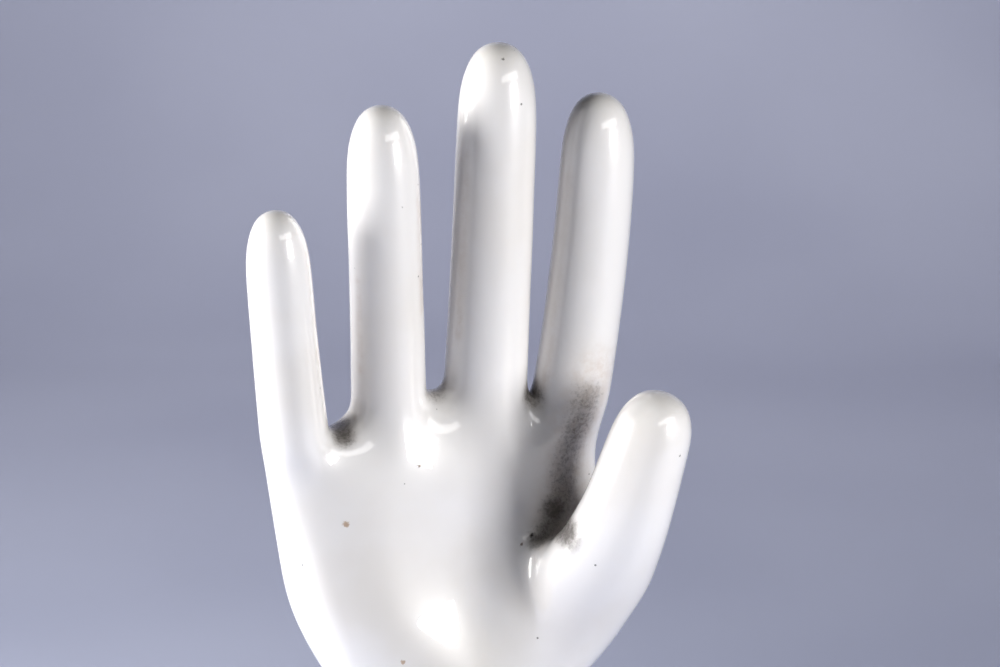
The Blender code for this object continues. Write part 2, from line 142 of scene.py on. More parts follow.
# ---- Node tools and finishes ------------------------------------------------------------------------
def linear(colour: str) -> tuple[float, float, float, float]:
    """Turn an sRGB hex colour into the linear colour that a shader takes.

    Args:
        colour: such as "#F4F1EA".

    Returns:
        Red, green, blue and an alpha of 1.
    """
    channels = [int(colour[start:start + 2], 16) / 255 for start in (1, 3, 5)]
    values = [c / 12.92 if c <= 0.04045 else ((c + 0.055) / 1.055) ** 2.4 for c in channels]
    return (*values, 1.0)


class Surface:
    """A material's node tree while it is being wired."""

    def __init__(self, name: str) -> None:
        """Start a material with its Principled shader.

        Args:
            name: the material's name.
        """
        self.material = bpy.data.materials.new(name)
        self.material.use_nodes = True
        self.tree = self.material.node_tree
        self.shader = self.tree.nodes["Principled BSDF"]

    def add(self, kind: str, links: Optional[dict] = None, **settings: object) -> bpy.types.Node:
        """Add a node, set it and link its inputs.

        Args:
            kind: the node's type, without the ShaderNode that starts every name.
            links: input name or index to an output socket to link from, or a value.
            settings: attributes of the node.

        Returns:
            The node.
        """
        node = self.tree.nodes.new("ShaderNode" + kind)
        for name, value in settings.items():
            setattr(node, name, value)
        for name, value in (links or {}).items():
            if isinstance(value, bpy.types.NodeSocket):
                self.tree.links.new(value, node.inputs[name])
            else:
                node.inputs[name].default_value = value
        return node

    def shade(self, **values: object) -> None:
        """Set or link the shader's own sockets.

        Args:
            values: socket name with _ for a space, to a value or to an output socket.
        """
        for name, value in values.items():
            socket = self.shader.inputs[name.replace("_", " ")]
            if isinstance(value, bpy.types.NodeSocket):
                self.tree.links.new(value, socket)
            else:
                socket.default_value = value

    def where(self) -> bpy.types.NodeSocket:
        """Return the place on the object, in millimetres."""
        spot = self.add("TexCoord").outputs["Object"]
        return self.add("VectorMath", {0: spot, 1: (1 / MM,) * 3}, operation="MULTIPLY").outputs[0]

    def noise(self, spot: bpy.types.NodeSocket, size: float, detail: float,
              roughness: float = 0.5) -> bpy.types.NodeSocket:
        """Add a cloudy noise.

        Args:
            spot: place on the piece, in mm.
            size: width of its largest blots, in mm.
            detail: how many finer layers it has.
            roughness: how strong the finer layers are.

        Returns:
            The noise, from 0 to 1.
        """
        inputs = {"Vector": spot, "Scale": 1 / size, "Detail": detail, "Roughness": roughness}
        return self.add("TexNoise", inputs).outputs["Fac"]

    def band(self, value: bpy.types.NodeSocket, start: float, end: float, low: float = 0.0,
             high: float = 1.0) -> bpy.types.NodeSocket:
        """Ease from low to high while a value goes from start to end.

        Args:
            value: the socket that is read.
            start: value where the ease begins.
            end: value where it ends; it may be below start.
            low: result at start.
            high: result at end.

        Returns:
            The result's socket.
        """
        links = {"Value": value, "From Min": start, "From Max": end, "To Min": low, "To Max": high}
        return self.add("MapRange", links, interpolation_type="SMOOTHSTEP").outputs["Result"]

    def tint(self, base: object, over: object, share: object, blend: str = "MIX") -> bpy.types.NodeSocket:
        """Lay one colour over another.

        Args:
            base: colour or socket underneath.
            over: colour or socket on top.
            share: how much of it shows, a number or a socket.
            blend: Blender's name of the blend.

        Returns:
            The colour's socket.
        """
        node = self.add("Mix", {"Factor": share, 6: base, 7: over}, data_type="RGBA", blend_type=blend)
        return node.outputs[2]

    def maths(self, operation: str, a: object, b: object = 0.0) -> bpy.types.NodeSocket:
        """Return a sum of two values or sockets, by the name of the operation."""
        return self.add("Math", {0: a, 1: b}, operation=operation).outputs[0]


class Stain(Enum):
    """What discolours the glaze, as the colour that it takes on."""

    SOOT = "#3A332D"  # handling dirt packed into a hollow
    TAN = "#B79A7C"  # iron bleeding through the glaze
    RUST = "#6B4A33"  # a fired-in iron speck
    DUST = "#8E8B88"


@dataclass(frozen=True)
class Blemish:
    """A fired-in speck, pit or spot of the glaze, in millimetres."""

    across: float
    up: float
    radius: float
    stain: Stain
    strength: float = 0.8
    pitted: bool = False
    depth: float = 0.0


@dataclass(frozen=True)
class GlazedPorcelain:
    """Slip-cast porcelain under a clear glaze, fired glossy: white, wet-looking, with sharp reflections."""

    body: str = "#F4F2F1"
    body_warm: str = "#F0EDEA"
    # Colour and strength of the painted shade laid evenly over the webs and the thumb's crevice.
    painted_shade: str = "#6A6058"
    painted_shade_strength: float = 0.62
    body_roughness: float = 0.32
    glaze_roughness: float = 0.025
    ior: float = 1.52  # porcelain's feldspar glaze
    mottle: float = 34.0  # mm across a patch of warmer body
    ripple: float = 7.0  # mm between the low waves that the brushed glaze dried with
    speck_spacing: float = 5.2  # mm between the cells that may hold a dust speck
    blemishes: tuple[Blemish, ...] = ()

    def make(self) -> bpy.types.Material:
        """Build the material.

        Returns:
            A material that reads the mesh's "film" attribute and its attribute of packed dirt and painted
            shade.
        """
        s = Surface("glazed_porcelain")
        spot = s.where()
        # This attribute holds the packed dirt of the hollows and the painted shade that greys them.
        grime_and_shade = s.add("Attribute", attribute_name="grime_and_shade").outputs["Fac"]
        film = s.add("Attribute", attribute_name="film").outputs["Fac"]

        mottle = s.noise(spot, self.mottle, 3.0)
        colour = s.tint(linear(self.body), linear(self.body_warm), s.band(mottle, 0.42, 0.68))

        # A brown film wiped off the high places stays in a thin, broken layer.
        cloud = s.noise(spot, 4.0, 6.0, 0.68)
        film_share = s.maths("MULTIPLY", film, s.band(cloud, 0.36, 0.66, 0.3, 1.0))
        colour = s.tint(colour, linear(Stain.TAN.value), s.maths("MULTIPLY", film_share, 0.42))

        # Painted shade: the webs and the crevice beside the thumb are greyed by an even dark tint where shade
        # falls; dirt packs inside them and thins into grains at their edge.
        painted_shade = s.band(grime_and_shade, 0.0, 0.8, 0.0, self.painted_shade_strength)
        colour = s.tint(colour, linear(self.painted_shade), painted_shade)
        grain = s.noise(spot, 1.1, 5.0, 0.75)
        packed = s.maths("ADD", grime_and_shade, s.band(grain, 0.35, 0.7, -0.22, 0.18))
        packed = s.maths("MULTIPLY", s.band(packed, 0.18, 0.95), s.band(grime_and_shade, 0.0, 0.25))
        colour = s.tint(colour, linear(Stain.SOOT.value), s.maths("MULTIPLY", packed, 0.6))

        # Dust specks: one small dot in some of the cells, more of them where there is film or dirt.
        cells = s.add("TexVoronoi", {"Vector": spot, "Scale": 1 / self.speck_spacing, "Randomness": 1.0})
        cell_draw = s.add("SeparateColor", {0: cells.outputs["Color"]}).outputs
        dot_size = s.band(cell_draw["Green"], 0.0, 1.0, 0.025, 0.062)
        dot = s.maths("LESS_THAN", cells.outputs["Distance"], dot_size)
        dirty = s.maths("ADD", s.maths("MULTIPLY", grime_and_shade, 0.55), s.maths("MULTIPLY", film, 0.35))
        chosen = s.maths("LESS_THAN", cell_draw["Red"], s.maths("ADD", dirty, 0.20))
        speck = s.maths("MULTIPLY", dot, chosen)
        colour = s.tint(colour, linear(Stain.SOOT.value), s.maths("MULTIPLY", speck, 0.62))

        height = s.maths("MULTIPLY", speck, -0.05)
        for blemish in self.blemishes:
            middle = (blemish.across, blemish.depth, blemish.up)
            away = s.add("VectorMath", {0: spot, 1: middle}, operation="DISTANCE").outputs["Value"]
            ragged = s.maths("ADD", away, s.band(grain, 0.3, 0.7, -0.4, 0.4))
            inside = s.band(ragged, blemish.radius, blemish.radius * 0.45)
            share = s.maths("MULTIPLY", inside, blemish.strength)
            colour = s.tint(colour, linear(blemish.stain.value), share)
            if blemish.pitted:
                height = s.maths("ADD", height, s.maths("MULTIPLY", inside, -0.35))

        ripple = s.noise(spot, self.ripple, 1.0)
        height = s.maths("ADD", height, s.maths("MULTIPLY", ripple, 0.020))
        height = s.maths("ADD", height, s.maths("MULTIPLY", packed, 0.05))
        bump = s.add("Bump", {"Height": height, "Distance": MM, "Strength": 1.0}).outputs["Normal"]
        dull = s.maths("MULTIPLY", packed, 0.4)
        rough = s.maths("ADD", dull, self.body_roughness)
        s.shade(Base_Color=colour, Roughness=rough, IOR=self.ior, Normal=bump,
                Coat_Weight=1.0, Coat_Roughness=self.glaze_roughness, Coat_IOR=self.ior, Coat_Normal=bump,
                Subsurface_Weight=0.08, Subsurface_Radius=(1.0, 0.9, 0.8), Subsurface_Scale=2 * MM)
        return s.material


@dataclass(frozen=True)
class BiscuitPorcelain:
    """The same body where no glaze was laid: wiped from the foot, never poured inside, so dry and matt."""

    body: str = "#E7E1D6"
    stained: str = "#C9BCA8"
    roughness: float = 0.78
    grit: float = 0.5  # mm, drawn coarser than the body's real grain so that it shows

    def make(self) -> bpy.types.Material:
        """Build the material.

        Returns:
            The matt material.
        """
        s = Surface("biscuit_porcelain")
        spot = s.where()
        blot = s.noise(spot, 14.0, 5.0, 0.6)
        colour = s.tint(linear(self.body), linear(self.stained), s.band(blot, 0.45, 0.75))
        grit = s.noise(spot, self.grit, 2.0)
        bump = s.add("Bump", {"Height": grit, "Distance": 0.06 * MM, "Strength": 1.0}).outputs["Normal"]
        s.shade(Base_Color=colour, Roughness=self.roughness, Normal=bump)
        return s.material


@dataclass(frozen=True)
class TurnedMetal:
    """Metal faced on a lathe: fine rings round the axis that stretch a highlight across them."""

    name: str
    colour: str
    tarnish: str
    roughness: float
    ring: float = 0.45  # mm between tool marks, drawn coarser than a real feed so that they show
    tarnish_size: float = 9.0  # mm

    def make(self) -> bpy.types.Material:
        """Build the material.

        Returns:
            The metal.
        """
        s = Surface(self.name)
        spot = s.where()
        axes = s.add("SeparateXYZ", {0: spot}).outputs
        flat = s.add("CombineXYZ", {0: axes[0], 1: axes[1]}).outputs[0]
        radius = s.add("VectorMath", {0: flat}, operation="LENGTH").outputs["Value"]
        rings = s.maths("SINE", s.maths("MULTIPLY", radius, math.tau / self.ring))
        blot = s.noise(spot, self.tarnish_size, 6.0)
        worn = s.band(blot, 0.45, 0.72)
        colour = s.tint(linear(self.colour), linear(self.tarnish), worn)
        rough = s.maths("ADD", s.maths("MULTIPLY", worn, 0.22), self.roughness)
        bump = s.add("Bump", {"Height": rings, "Distance": 0.012 * MM, "Strength": 1.0}).outputs["Normal"]
        s.shade(Base_Color=colour, Roughness=rough, Metallic=1.0, Normal=bump)
        return s.material


@dataclass(frozen=True)
class CastBrass:
    """Sand-cast brass, tumbled and handled: grainy in the hollows, bright where thumbs rub it."""

    colour: str = "#C9A667"
    aged: str = "#7A5F38"
    roughness: float = 0.34
    grain: float = 0.9  # mm, the sand's print

    def make(self) -> bpy.types.Material:
        """Build the material.

        Returns:
            The brass.
        """
        s = Surface("cast_brass")
        spot = s.where()
        sand = s.noise(spot, self.grain, 3.0)
        blot = s.noise(spot, 6.0, 5.0)
        aged = s.band(blot, 0.42, 0.66)
        colour = s.tint(linear(self.colour), linear(self.aged), aged)
        bump = s.add("Bump", {"Height": sand, "Distance": 0.10 * MM, "Strength": 1.0}).outputs["Normal"]
        rough = s.maths("ADD", s.maths("MULTIPLY", aged, 0.25), self.roughness)
        s.shade(Base_Color=colour, Roughness=rough, Metallic=1.0, Normal=bump)
        return s.material


@dataclass(frozen=True)
class MouldedRubber:
    """Black vulcanised rubber from a steel mould: matt, with a pale bloom and the dust it holds."""

    colour: str = "#262627"
    bloom: str = "#5B5955"
    roughness: float = 0.72

    def make(self) -> bpy.types.Material:
        """Build the material.

        Returns:
            The rubber.
        """
        s = Surface("moulded_rubber")
        spot = s.where()
        blot = s.noise(spot, 8.0, 7.0, 0.7)
        colour = s.tint(linear(self.colour), linear(self.bloom), s.band(blot, 0.5, 0.8, 0.0, 0.6))
        skin = s.noise(spot, 0.6, 2.0)
        bump = s.add("Bump", {"Height": skin, "Distance": 0.05 * MM, "Strength": 1.0}).outputs["Normal"]
        s.shade(Base_Color=colour, Roughness=self.roughness, IOR=1.52, Normal=bump)
        return s.material


# Chosen as millimetres across and up; HandCasting.seat finds the surface behind each of them.
BLEMISHES = (
    Blemish(-11, 232, 0.9, Stain.RUST, 0.85),
    Blemish(-31, 219, 1.0, Stain.TAN, 0.75),
    Blemish(18, 211, 0.6, Stain.SOOT, 0.9, pitted=True),
    Blemish(15, 209, 0.5, Stain.RUST, 0.7),
    Blemish(45, 239, 0.5, Stain.SOOT, 0.85),
    Blemish(-18, 182, 0.7, Stain.TAN, 0.7),
    Blemish(-15, 299, 0.4, Stain.SOOT, 0.7),
    Blemish(12, 334, 0.5, Stain.DUST, 0.8),
)


# ---- The porcelain hand -----------------------------------------------------------------------------
@dataclass(frozen=True)
class Finger:
    """A finger, measured on its outside in metres; heights are above the wrist."""

    root: Point
    tip: Point
    bow: float
    root_radius: tuple[float, float]
    tip_radius: tuple[float, float]
    dome: float


@dataclass(frozen=True)
class Section:
    """A level section of the palm in metres; height is above the wrist and depths are along Y."""

    height: float
    left: float
    right: float
    back: float
    heel: float
    hollow: float
    ball: float
    square: float
    even: float
    swing: float
    opened: float


@dataclass(frozen=True)
class ThumbRing:
    """A ring of the thumb: its centre above the wrist, its lean and tilt in degrees, and its half sizes."""

    centre: Point
    lean: float
    tilt: float
    radius: tuple[float, float]


@dataclass(frozen=True)
class Smear:
    """Dirt with painted shade, or film, round a line on the hand, in millimetres above the rim."""

    start: Point
    end: Point
    reach: float
    strength: float


@dataclass
class HandCasting:
    """The hollow porcelain hand with its neck and cuff, in metres."""

    wrist_height: float = 0.155
    wrist_half_width: float = 0.0270
    wrist_half_depth: float = 0.0235
    cuff_radius: float = 0.044
    cuff_straight: float = 0.066
    wall: float = 0.0048
    shift: float = 0.001
    rim_round: float = 0.0011
    wobble: float = 0.00035
    wobble_size: float = 0.030
    levels: int = 3
    columns: int = 26
    finger_places: tuple[float, ...] = (0.10, 0.30, 0.53, 0.77, 1.0)
    dome_places: tuple[tuple[float, float], ...] = ((0.50, 0.93), (0.91, 0.60))
    tip_reach: float = 1.10
    opened_places: tuple[tuple[int, float], ...] = ((0, 0.0), (10, 0.68), (11, 0.82), (12, 0.96), (13, 1.0))
    back_swing: float = 0.6
    hollow_reach: float = 0.6
    thumb_dome: float = 0.0150
    thumb_row: int = 2
    thumb_column: int = 11
    webs: tuple[float, float, float] = (0.0868, 0.0945, 0.0915)
    fingers: tuple[Finger, ...] = (
        Finger((-0.0420, -0.002, 0.083), (-0.0473, -0.006, 0.1446), -0.0004,
               (0.0086, 0.0090), (0.0082, 0.0079), 0.0165),
        Finger((-0.0163, 0.001, 0.089), (-0.0189, -0.003, 0.1684), 0.0002,
               (0.0096, 0.0094), (0.0092, 0.0088), 0.0180),
        Finger((0.0096, 0.001, 0.090), (0.0122, -0.003, 0.1823), 0.0002,
               (0.0108, 0.0100), (0.0101, 0.0096), 0.0190),
        Finger((0.0316, -0.002, 0.086), (0.0382, -0.006, 0.1686), 0.0016,
               (0.0101, 0.0098), (0.0097, 0.0092), 0.0190),
    )
    palm: tuple[Section, ...] = (
        Section(0.009, -0.0290, 0.0303, 0.0225, 0.0220, 0.0220, 0.0225, 2.0, 1.0, 0.0020, 0.0),
        Section(0.020, -0.0353, 0.0382, 0.0200, 0.0200, 0.0200, 0.0235, 2.1, 0.7, 0.0070, 0.5),
        Section(0.031, -0.0417, 0.0445, 0.0180, 0.0185, 0.0156, 0.0245, 2.3, 0.3, 0.0120, 1.0),
        Section(0.042, -0.0455, 0.0457, 0.0165, 0.0160, 0.0122, 0.0195, 2.6, 0.3, 0.0125, 1.0),
        Section(0.054, -0.0472, 0.0415, 0.0155, 0.0145, 0.0112, 0.0130, 2.5, 0.2, 0.0060, 1.0),
        Section(0.065, -0.0487, 0.0402, 0.0140, 0.0137, 0.0110, 0.0120, 2.5, 0.1, 0.0020, 0.4),
        Section(0.075, -0.0499, 0.0402, 0.0125, 0.0125, 0.0110, 0.0115, 2.6, 0.0, 0.0000, 0.0),
    )
    thumb: tuple[ThumbRing, ...] = (
        ThumbRing((0.0310, -0.0248, 0.0488), 42, 10, (0.0152, 0.0112)),
        ThumbRing((0.0326, -0.0288, 0.0556), 33, 12, (0.0135, 0.0110)),
        ThumbRing((0.0348, -0.0330, 0.0650), 20, 15, (0.0120, 0.0107)),
        ThumbRing((0.0373, -0.0357, 0.0765), 12, 16, (0.0110, 0.0105)),
        ThumbRing((0.0391, -0.0368, 0.0840), 10, 15, (0.0105, 0.0102)),
    )
    # Strength of the packed dirt and painted shade in each web; the crevice smears below lay both beside the
    # thumb.
    web_dirt_and_shade: tuple[float, ...] = (0.85, 0.75, 0.8)
    crevice: tuple[Smear, ...] = (
        Smear((22, -31, 216), (25, -13, 217), 7.0, 0.95),
        Smear((19, -15, 210), (24, -13, 214), 5.5, 0.65),
        Smear((27, -12, 219), (34, -10, 246), 9.0, 0.55),
    )

    def finger_ring(self, centre: Iterable[float], radii: Sequence[float], tilt: float = 0.0,
                    lean: float = 0.0) -> list[Vector]:
        """Place eight points round a finger, from the little finger's side by the front.

        Args:
            centre: the ring's centre.
            radii: half width and half depth of the smooth finger.
            tilt: lean towards +X in radians.
            lean: lean towards -Y in radians.

        Returns:
            The ring's points.
        """
        side = Vector((math.cos(tilt), 0, -math.sin(tilt)))
        back = direction(tilt, lean).cross(side)
        scale = cage_scale(8)
        points = []
        for step in range(8):
            angle = math.pi + step * math.tau / 8
            across = side * (radii[0] * scale * math.cos(angle))
            points.append(Vector(centre) + across + back * (radii[1] * scale * math.sin(angle)))
        return points

    def finger_axis(self, finger: Finger, share: float) -> Vector:
        """Return the centre of a finger at a share of the way from root to tip."""
        point = Vector(finger.root).lerp(Vector(finger.tip), share)
        point.x += finger.bow * 4 * share * (1 - share)
        return point

    def finger_rings(self, finger: Finger) -> tuple[list[list[Vector]], Vector]:
        """Return a finger's rings above its root, and the cage's point at its tip."""
        length = (Vector(finger.tip) - Vector(finger.root)).length
        straight = 1 - finger.dome / length
        rise = finger.tip[2] - finger.root[2]
        tilt = math.atan2(finger.tip[0] - finger.root[0], rise)
        lean = math.atan2(finger.root[1] - finger.tip[1], rise)
        rings = []
        for share in self.finger_places:
            radii = [mix(a, b, share) for a, b in zip(finger.root_radius, finger.tip_radius)]
            rings.append(self.finger_ring(self.finger_axis(finger, straight * share), radii, tilt, lean))
        for spot, share in self.dome_places:
            radii = [radius * share for radius in finger.tip_radius]
            middle = self.finger_axis(finger, mix(straight, 1, spot))
            rings.append(self.finger_ring(middle, radii, tilt, lean))
        return rings, self.finger_axis(finger, mix(straight, 1, self.tip_reach))

    def thumb_rings(self) -> tuple[list[list[Vector]], Vector]:
        """Return the thumb's rings above its ball, and the cage's point at its tip."""
        rings = [self.finger_ring(ring.centre, ring.radius, math.radians(ring.tilt), math.radians(ring.lean))
                 for ring in self.thumb]
        last = self.thumb[-1]
        tilt, lean = math.radians(last.tilt), math.radians(last.lean)
        along = direction(tilt, lean) * self.thumb_dome
        for spot, share in self.dome_places:
            radii = [radius * share for radius in last.radius]
            rings.append(self.finger_ring(Vector(last.centre) + along * spot, radii, tilt, lean))
        return rings, Vector(last.centre) + along * self.tip_reach

    def even_places(self) -> list[float]:
        """Return the columns' places across the hand when they are spaced evenly round an oval."""
        half = self.columns // 2
        front = [(1 - math.cos(math.pi * step / half)) / 2 for step in range(half + 1)]
        return front + front[-2:0:-1]

    def opened_place(self, column: int) -> float:
        """Return a front column's place across the hand where the columns open out for the thumb."""
        places = self.opened_places
        for (start, low), (end, high) in zip(places, places[1:]):
            if column <= end:
                break
        return mix(low, high, (column - start) / (end - start))

    def palm_ring(self, section: Section, finger_columns: Sequence[float]) -> list[Vector]:
        """Place the points round a level section of the palm.

        Args:
            section: the section's sizes.
            finger_columns: places of the columns across the hand, in line with the fingers.

        Returns:
            The ring's points, from the little finger's side by the front.
        """
        half_width = (section.right - section.left) / 2
        half = self.columns // 2
        points = []
        for column, (spot, even) in enumerate(zip(finger_columns, self.even_places())):
            spot = mix(spot, even, section.even)
            front_side = column <= half
            if front_side:
                spot = mix(spot, self.opened_place(column), section.opened)
            across = 2 * spot - 1
            bulge = max(1 - abs(across) ** section.square, 0.0) ** (1 / section.square)
            side = section.heel if across < 0 else section.ball
            front = mix(section.hollow, side, smooth(abs(across) / self.hollow_reach))
            swing = section.swing * (1 if front_side else self.back_swing)
            y = (-front if front_side else section.back) * bulge - swing * smooth(across)
            points.append(Vector((section.left + half_width * (1 + across), y, section.height)))
        return points

    def oval_ring(self, half_width: float, half_depth: float, height: float) -> list[Vector]:
        """Return the points round an oval section of the wrist, neck or cuff."""
        scale = cage_scale(self.columns)
        angles = [math.pi + step * math.tau / self.columns for step in range(self.columns)]
        return [Vector((scale * half_width * math.cos(a), scale * half_depth * math.sin(a), height))
                for a in angles]

    def lower_rings(self) -> list[list[Vector]]:
        """Return the rings of the cuff and of the neck that draws in to the wrist, from the rim up."""
        cuff = self.cuff_radius
        rings = [self.oval_ring(cuff, cuff, self.cuff_straight * share) for share in (0, 0.12, 0.5, 0.88, 1)]
        for share in (0.2, 0.4, 0.6, 0.8, 1):
            ease = smooth(share)
            rings.append(self.oval_ring(mix(cuff, self.wrist_half_width, ease),
                                        mix(cuff, self.wrist_half_depth, ease),
                                        mix(self.cuff_straight, self.wrist_height, share)))
        return rings

    def fill_cage(self, cage: bmesh.types.BMesh) -> None:
        """Fill a BMesh with the coarse cage of the whole hand, open at the cuff's rim."""
        lift = Vector((self.shift, 0, self.wrist_height))
        half = self.columns // 2

        def vertices(points: Iterable[Vector], offset: Vector = lift) -> list[bmesh.types.BMVert]:
            """Add a ring of points."""
            return [cage.verts.new(point + offset) for point in points]

        def bridge(low: Sequence, high: Sequence, skip: Sequence[int] = ()) -> None:
            """Join two rings with a band of quads."""
            for step in range(len(low)):
                after = (step + 1) % len(low)
                if step not in skip:
                    cage.faces.new((low[step], low[after], high[after], high[step]))

        def grow(ring: list, above: Iterable[Iterable[Vector]], tip: Vector) -> None:
            """Grow a finger from its root ring and close it with four quads at the tip."""
            for points in above:
                following = vertices(points)
                bridge(ring, following)
                ring = following
            middle = cage.verts.new(tip + lift)
            for step in (0, 2, 4, 6):
                cage.faces.new((ring[step], ring[step + 1], ring[(step + 2) % 8], middle))

        roots = [self.finger_ring(finger.root, finger.root_radius) for finger in self.fingers]
        front = [ring[index] for ring in roots for index in (1, 2, 3)]
        back = [ring[index] for ring in reversed(roots) for index in (5, 6, 7)]
        top = [roots[0][0], *front, roots[-1][4], *back]
        left, right = top[0].x, top[half].x
        columns = [(point.x - left) / (right - left) for point in top]

        rings = [vertices(points, Vector()) for points in self.lower_rings()]
        first_palm = len(rings)
        palm = [vertices(self.palm_ring(section, columns)) for section in self.palm]
        top_ring = vertices(top)
        rings += [*palm, top_ring]
        patch_rows = range(first_palm + self.thumb_row, first_palm + self.thumb_row + 2)
        for index in range(len(rings) - 1):
            patch = (self.thumb_column - 1, self.thumb_column) if index in patch_rows else ()
            bridge(rings[index], rings[index + 1], skip=patch)

        # The fingers share the top ring's points at front and back, and have their own at the webs.
        root_rings = []
        for index in range(len(self.fingers)):
            near_front = [top_ring[1 + 3 * index + step] for step in range(3)]
            near_back = [top_ring[self.columns - 1 - 3 * index - step] for step in range(3)]
            root_rings.append([top_ring[0], *near_front, top_ring[half], *reversed(near_back)])
        for index, height in enumerate(self.webs):
            near, far = roots[index][4].copy(), roots[index + 1][0].copy()
            near.z = far.z = height
            near, far = vertices((near, far))
            one, two = root_rings[index], root_rings[index + 1]
            one[4], two[0] = near, far
            cage.faces.new((one[3], two[1], far, near))
            cage.faces.new((near, far, two[7], one[5]))
        for ring, finger in zip(root_rings, self.fingers):
            grow(ring, *self.finger_rings(finger))

        # The thumb grows from a patch two faces wide and two high on the ball of the thumb.
        low, middle, high = (palm[self.thumb_row + step] for step in range(3))
        column = self.thumb_column
        cage.verts.remove(middle[column])
        ring = [middle[column - 1], low[column - 1], low[column], low[column + 1],
                middle[column + 1], high[column + 1], high[column], high[column - 1]]
        grow(ring, *self.thumb_rings())

    def shape(self) -> bpy.types.Object:
        """Make the smooth hollow hand: the cage is subdivided, given the slow waves of a hand-poured casting
        and a wall, and its foot's edges are rounded.

        Returns:
            The object, with its modifiers applied.
        """
        hand = place("porcelain_hand", mesh_from("porcelain_hand", self.fill_cage))
        hand.data.shade_smooth()
        subdivision = hand.modifiers.new("smooth_form", "SUBSURF")
        subdivision.levels = subdivision.render_levels = self.levels
        waves = bpy.data.textures.new("casting_waves", "CLOUDS")
        waves.noise_scale = self.wobble_size
        waves.noise_depth = 1
        displace = hand.modifiers.new("casting_waves", "DISPLACE")
        displace.texture = waves
        displace.texture_coords = "LOCAL"
        displace.strength = self.wobble
        shell = hand.modifiers.new("cast_wall", "SOLIDIFY")
        shell.thickness = self.wall
        shell.offset = -1
        shell.use_even_offset = True
        shell.material_offset = shell.material_offset_rim = 1
        edge = hand.modifiers.new("foot_edges", "BEVEL")
        edge.width = self.rim_round
        edge.segments = 4
        edge.limit_method = "ANGLE"
        edge.angle_limit = math.radians(60)
        hand.data.materials.append(None)
        hand.data.materials.append(None)
        settle(hand)
        return self.rest_on_floor(hand)

    def rest_on_floor(self, hand: bpy.types.Object) -> bpy.types.Object:
        """Flatten what the casting's waves pushed below the foot."""
        for vertex in hand.data.vertices:
            vertex.co.z = max(vertex.co.z, 0.0)
        return hand

    def beside(self, finger: Finger, side: int, low: float, high: float,
               reach: float, strength: float) -> Smear:
        """Lay a smear down one side of a finger, a little towards the palm.

        Args:
            finger: the finger.
            side: -1 for the side away from the thumb, 1 for the side towards it.
            low: share of the finger's length where the smear starts.
            high: share where it ends.
            reach: how far it spreads, in mm.
            strength: how dense it is, from 0 to 1.

        Returns:
            The smear.
        """
        root, tip = Vector(finger.root), Vector(finger.tip)
        radius = finger.root_radius[0]
        out = Vector((side * radius * 0.9, -radius * 0.45, self.wrist_height))
        ends = [(root.lerp(tip, share) + out) / MM for share in (low, high)]
        return Smear(tuple(ends[0]), tuple(ends[1]), reach, strength)

    def dirt_and_shade(self) -> tuple[Smear, ...]:
        """Return where dirt packs and where shade is painted: in the webs between the fingers and in the
        crevice beside the thumb.
        """
        smears = list(self.crevice)
        for left, right, height, strength in zip(self.fingers, self.fingers[1:], self.webs, self.web_dirt_and_shade):
            across = (left.root[0] + left.root_radius[0] + right.root[0] - right.root_radius[0]) / 2
            low = Vector((across, -0.007, self.wrist_height + height - 0.001)) / MM
            high = Vector((across, 0.002, self.wrist_height + height + 0.001)) / MM
            smears.append(Smear(tuple(low), tuple(high), 5.5, strength))
        return tuple(smears)

    def wiped_film(self) -> tuple[Smear, ...]:
        """Return where a thin film is left: down the fingers' sides and round the thumb's crevice."""
        little, ring, middle, index = self.fingers
        return (
            self.beside(little, 1, 0.4, 0.85, 3.4, 0.55), self.beside(ring, -1, 0.15, 0.45, 2.4, 1.0),
            self.beside(ring, 1, 0.35, 0.7, 3.4, 0.9), self.beside(middle, -1, 0.2, 0.7, 3.2, 0.8),
            self.beside(index, -1, 0.1, 0.75, 4.0, 0.7), Smear((27, -11, 214), (36, -12, 252), 12.0, 0.75),
        )

    def seat(self, hand: bpy.types.Object, blemishes: tuple[Blemish, ...]) -> tuple[Blemish, ...]:
        """Push each blemish back until it lies on the side of the hand that the palm faces.

        Args:
            hand: the finished hand.
            blemishes: the blemishes, with no depth yet.

        Returns:
            The same blemishes with their depth.
        """
        tree = BVHTree.FromPolygons([point.co for point in hand.data.vertices],
                                    [face.vertices for face in hand.data.polygons])
        seated = []
        for blemish in blemishes:
            start = Vector((blemish.across, -200.0, blemish.up)) * MM
            met = tree.ray_cast(start, Vector((0.0, 1.0, 0.0)))[0]
            if met is None:
                raise ValueError(f"no surface behind the blemish at {blemish.across}, {blemish.up} mm")
            seated.append(replace(blemish, depth=met.y / MM))
        return tuple(seated)

    def soil_and_shade(self, hand: bpy.types.Object) -> None:
        """Write how dirty each point of the hand is and how much painted shade it takes, as the attributes
        that the glaze reads.

        Args:
            hand: the finished hand.
        """
        count = len(hand.data.vertices)
        points = np.empty(count * 3)
        hand.data.vertices.foreach_get("co", points)
        points = points.reshape(count, 3) / MM
        for name, smears in (("grime_and_shade", self.dirt_and_shade()), ("film", self.wiped_film())):
            total = np.zeros(count)
            for smear in smears:
                start, along = np.array(smear.start), np.array(smear.end) - np.array(smear.start)
                share = np.clip((points - start) @ along / (along @ along), 0, 1)
                away = np.linalg.norm(points - start - share[:, None] * along, axis=1)
                near = np.clip(1 - away / smear.reach, 0, 1)
                total = np.maximum(total, smear.strength * near * near * (3 - 2 * near))
            attribute = hand.data.attributes.new(name, "FLOAT", "POINT")
            attribute.data.foreach_set("value", total.astype(np.float32))

